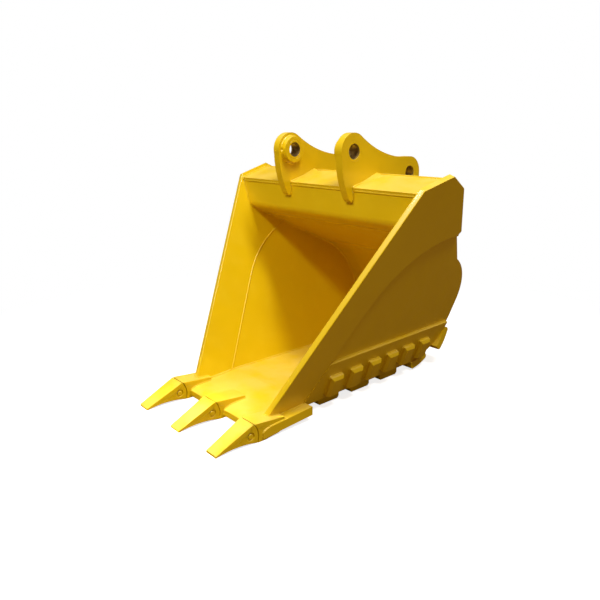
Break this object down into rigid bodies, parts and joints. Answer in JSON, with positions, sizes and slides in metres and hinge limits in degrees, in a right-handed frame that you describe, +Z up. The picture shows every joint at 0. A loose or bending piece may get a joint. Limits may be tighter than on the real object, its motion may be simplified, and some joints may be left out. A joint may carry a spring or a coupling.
{
  "type": "excavator bucket",
  "caption": "Welded digging bucket with splayed side walls, a curved shell, paired hanger ears over a torque tube, a straight lip with pinned teeth, and wear bars under the heel.",
  "frame": {"origin": "centre of the stick pin bore, midway between the two ears", "axes": "+X along the pins, towards the side wall on the right when looking into the mouth from the teeth; +Y from the mouth towards the heel; +Z up, with the bucket standing on its bottom wear bars"},
  "size_m": [1.328, 1.5876, 1.282],
  "materials": {
    "structure_paint": "satin yellow paint over welded plate",
    "shell_paint": "satin yellow paint over rolled plate",
    "wear_part_paint": "satin yellow paint over wear-resistant plate",
    "tooth_paint": "satin yellow paint over cast steel",
    "pin_steel": "satin yellow paint on the end faces, bare ground steel between",
    "bush_steel": "bored steel, lightly oiled",
    "spring_steel": "blued spring steel"
  },
  "bodies": {
    "bucket": {"bottom_liner_plate": "wear_part_paint", "bottom_wear_bar_1": "wear_part_paint", "bottom_wear_bar_2": "wear_part_paint", "bottom_wear_bar_3": "wear_part_paint", "ear_gussets_inner": "structure_paint", "ear_gussets_outer": "structure_paint", "ear_left": "structure_paint", "ear_right": "structure_paint", "heel_wear_bar_1": "wear_part_paint", "heel_wear_bar_2": "wear_part_paint", "link_pin_boss_left": "structure_paint", "link_pin_boss_right": "structure_paint", "link_pin_bush_left": "bush_steel", "link_pin_bush_right": "bush_steel", "lip_plate": "shell_paint", "shell_heel_and_floor": "shell_paint", "shell_upper_plate": "shell_paint", "side_edge_plate_left": "structure_paint", "side_edge_plate_right": "structure_paint", "side_plate_left": "structure_paint", "side_plate_right": "structure_paint", "side_wear_pad_1_left": "wear_part_paint", "side_wear_pad_1_right": "wear_part_paint", "side_wear_pad_2_left": "wear_part_paint", "side_wear_pad_2_right": "wear_part_paint", "side_wear_pad_3_left": "wear_part_paint", "side_wear_pad_3_right": "wear_part_paint", "side_wear_pad_4_left": "wear_part_paint", "side_wear_pad_4_right": "wear_part_paint", "side_wear_pad_5_left": "wear_part_paint", "side_wear_pad_5_right": "wear_part_paint", "side_wear_pad_6_left": "wear_part_paint", "side_wear_pad_6_right": "wear_part_paint", "side_wear_plate_left": "wear_part_paint", "side_wear_plate_right": "wear_part_paint", "stick_pin_boss_left": "structure_paint", "stick_pin_boss_right": "structure_paint", "stick_pin_bush_left": "bush_steel", "stick_pin_bush_right": "bush_steel", "tooth_adapter_left": "tooth_paint", "tooth_adapter_middle": "tooth_paint", "tooth_adapter_right": "tooth_paint", "tooth_pin_retainer_left": "spring_steel", "tooth_pin_retainer_middle": "spring_steel", "tooth_pin_retainer_right": "spring_steel", "tooth_tip_left": "tooth_paint", "tooth_tip_middle": "tooth_paint", "tooth_tip_right": "tooth_paint", "torque_tube_diaphragm_left": "structure_paint", "torque_tube_diaphragm_right": "structure_paint", "torque_tube_front_plate": "structure_paint", "torque_tube_rear_plate": "structure_paint", "torque_tube_top_plate": "structure_paint"},
    "tooth_pin_left": {"tooth_pin_left": "pin_steel"},
    "tooth_pin_middle": {"tooth_pin_middle": "pin_steel"},
    "tooth_pin_right": {"tooth_pin_right": "pin_steel"}
  },
  "joints": [
    {"name": "tooth_pin_left_drive_out", "type": "slide", "parent": "bucket", "child": "tooth_pin_left", "axis": [1, 0, 0], "range_m": [0, 0.12]},
    {"name": "tooth_pin_middle_drive_out", "type": "slide", "parent": "bucket", "child": "tooth_pin_middle", "axis": [1, 0, 0], "range_m": [0, 0.12]},
    {"name": "tooth_pin_right_drive_out", "type": "slide", "parent": "bucket", "child": "tooth_pin_right", "axis": [1, 0, 0], "range_m": [0, 0.12]}
  ]
}
